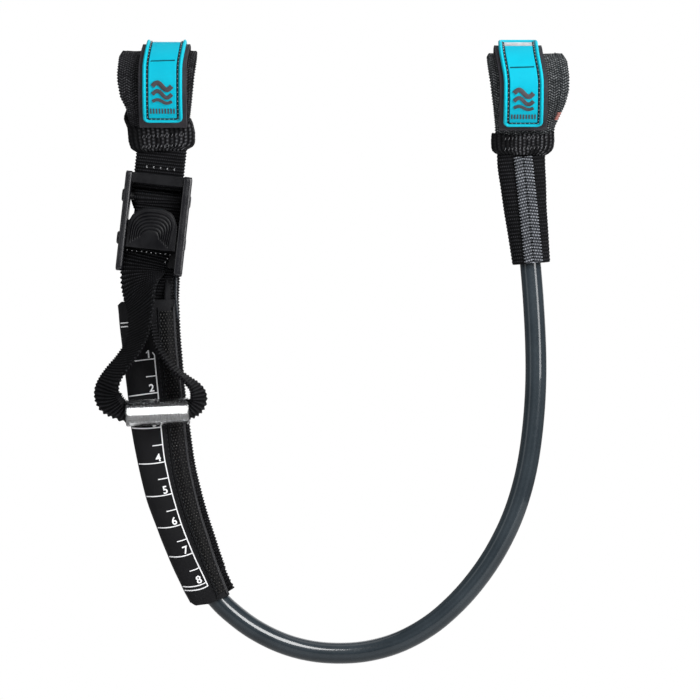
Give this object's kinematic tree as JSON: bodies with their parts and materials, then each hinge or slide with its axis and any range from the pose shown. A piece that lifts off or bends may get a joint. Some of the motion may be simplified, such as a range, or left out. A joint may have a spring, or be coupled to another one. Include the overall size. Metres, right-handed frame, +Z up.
{
  "type": "windsurf harness line",
  "caption": "U-shaped adjustable harness line: two hook-and-loop boom attachments, a cam buckle with a pull handle, a length scale on a sleeve, and a glossy hose over rope.",
  "frame": {"origin": "on the boom's axis, midway between the two boom attachments", "axes": "+X along the boom towards the attachment without a buckle, +Z up, -Y towards the sailor, the side with the badges, lever and grip"},
  "size_m": [0.2468, 0.0478, 0.3257],
  "materials": {
    "black_webbing": "woven",
    "grey_webbing": "woven",
    "strap_fabric": "woven",
    "hook_tape": "hook and loop",
    "badge_rubber": "satin",
    "emblem_rubber": "satin",
    "black_plastic": "satin",
    "steel": "brushed",
    "blackened_steel": "black, worn",
    "sleeve_fabric": "coated",
    "hose_plastic": "gloss",
    "rope_fibre": "braided",
    "clear_plastic": "clear"
  },
  "bodies": {
    "attachments": {"boom_band_left": "strap_fabric", "loop_patch_left": "hook_tape", "closure_strap_left": "strap_fabric", "keeper_left": "black_webbing", "boom_band_right": "strap_fabric", "loop_patch_right": "hook_tape", "closure_strap_right": "strap_fabric", "keeper_right": "black_webbing", "upper_webbing": "black_webbing", "buckle_frame": "black_plastic", "turn_bar": "blackened_steel", "cam_pin": "blackened_steel", "cam_spring": "steel", "adjust_webbing": "black_webbing", "pull_webbing": "black_webbing", "ruler_sleeve": "sleeve_fabric", "mesh_panel": "hook_tape", "carrier_webbing": "black_webbing", "right_wrap": "black_webbing", "right_strip": "grey_webbing"},
    "hose_end": {"hose_ferrule": "steel"},
    "line": {"line_hose": "hose_plastic", "core_rope": "rope_fibre"},
    "handle": {"handle_loop": "black_webbing"},
    "grip": {"grip_tube": "clear_plastic"},
    "lever": {"cam_lever": "black_plastic"},
    "left_flap": {"flap_strap_left": "strap_fabric", "hook_patch_left": "hook_tape", "badge_left": "badge_rubber", "badge_emblem_left": "emblem_rubber"},
    "right_flap": {"flap_strap_right": "strap_fabric", "hook_patch_right": "hook_tape", "badge_right": "badge_rubber", "badge_emblem_right": "emblem_rubber"}
  },
  "joints": [
    {"name": "length_adjust", "type": "slide", "parent": "attachments", "child": "hose_end", "axis": [0.251, 0, -0.968], "range_m": [-0.04, 0.032], "deforming": ["adjust_webbing"]},
    {"name": "line_sag", "type": "slide", "parent": "attachments", "child": "line", "axis": [0.7312, 0, -0.6822], "range_m": [-0.0236, 0.019], "deforming": ["line_hose", "core_rope"]},
    {"name": "handle_pull", "type": "slide", "parent": "attachments", "child": "handle", "axis": [0.06, 0, -0.9982], "range_m": [-0.0325, 0.0405], "deforming": ["pull_webbing"]},
    {"name": "grip_spin", "type": "hinge", "parent": "handle", "child": "grip", "pos_m": [-0.0962, -0.0116, -0.1695], "axis": [0.998, 0, 0.0628], "continuous": true},
    {"name": "cam_release", "type": "hinge", "parent": "attachments", "child": "lever", "pos_m": [-0.09979, -0.0048, -0.08055], "axis": [-0.994, 0, 0.1097], "range_deg": [0, 15], "stiffness_Nm_per_rad": 0.12, "springref_deg": -20.05},
    {"name": "left_flap_open", "type": "hinge", "parent": "attachments", "child": "left_flap", "pos_m": [-0.094, 0.01931, 0.01115], "axis": [-1, 0, 0], "range_deg": [0, 110]},
    {"name": "right_flap_open", "type": "hinge", "parent": "attachments", "child": "right_flap", "pos_m": [0.094, 0.01931, 0.01115], "axis": [-1, 0, 0], "range_deg": [0, 110]}
  ],
  "couplings": [
    {"joint": "line_sag", "follows": "length_adjust", "ratio": 0.58},
    {"joint": "handle_pull", "follows": "length_adjust", "ratio": -1}
  ]
}
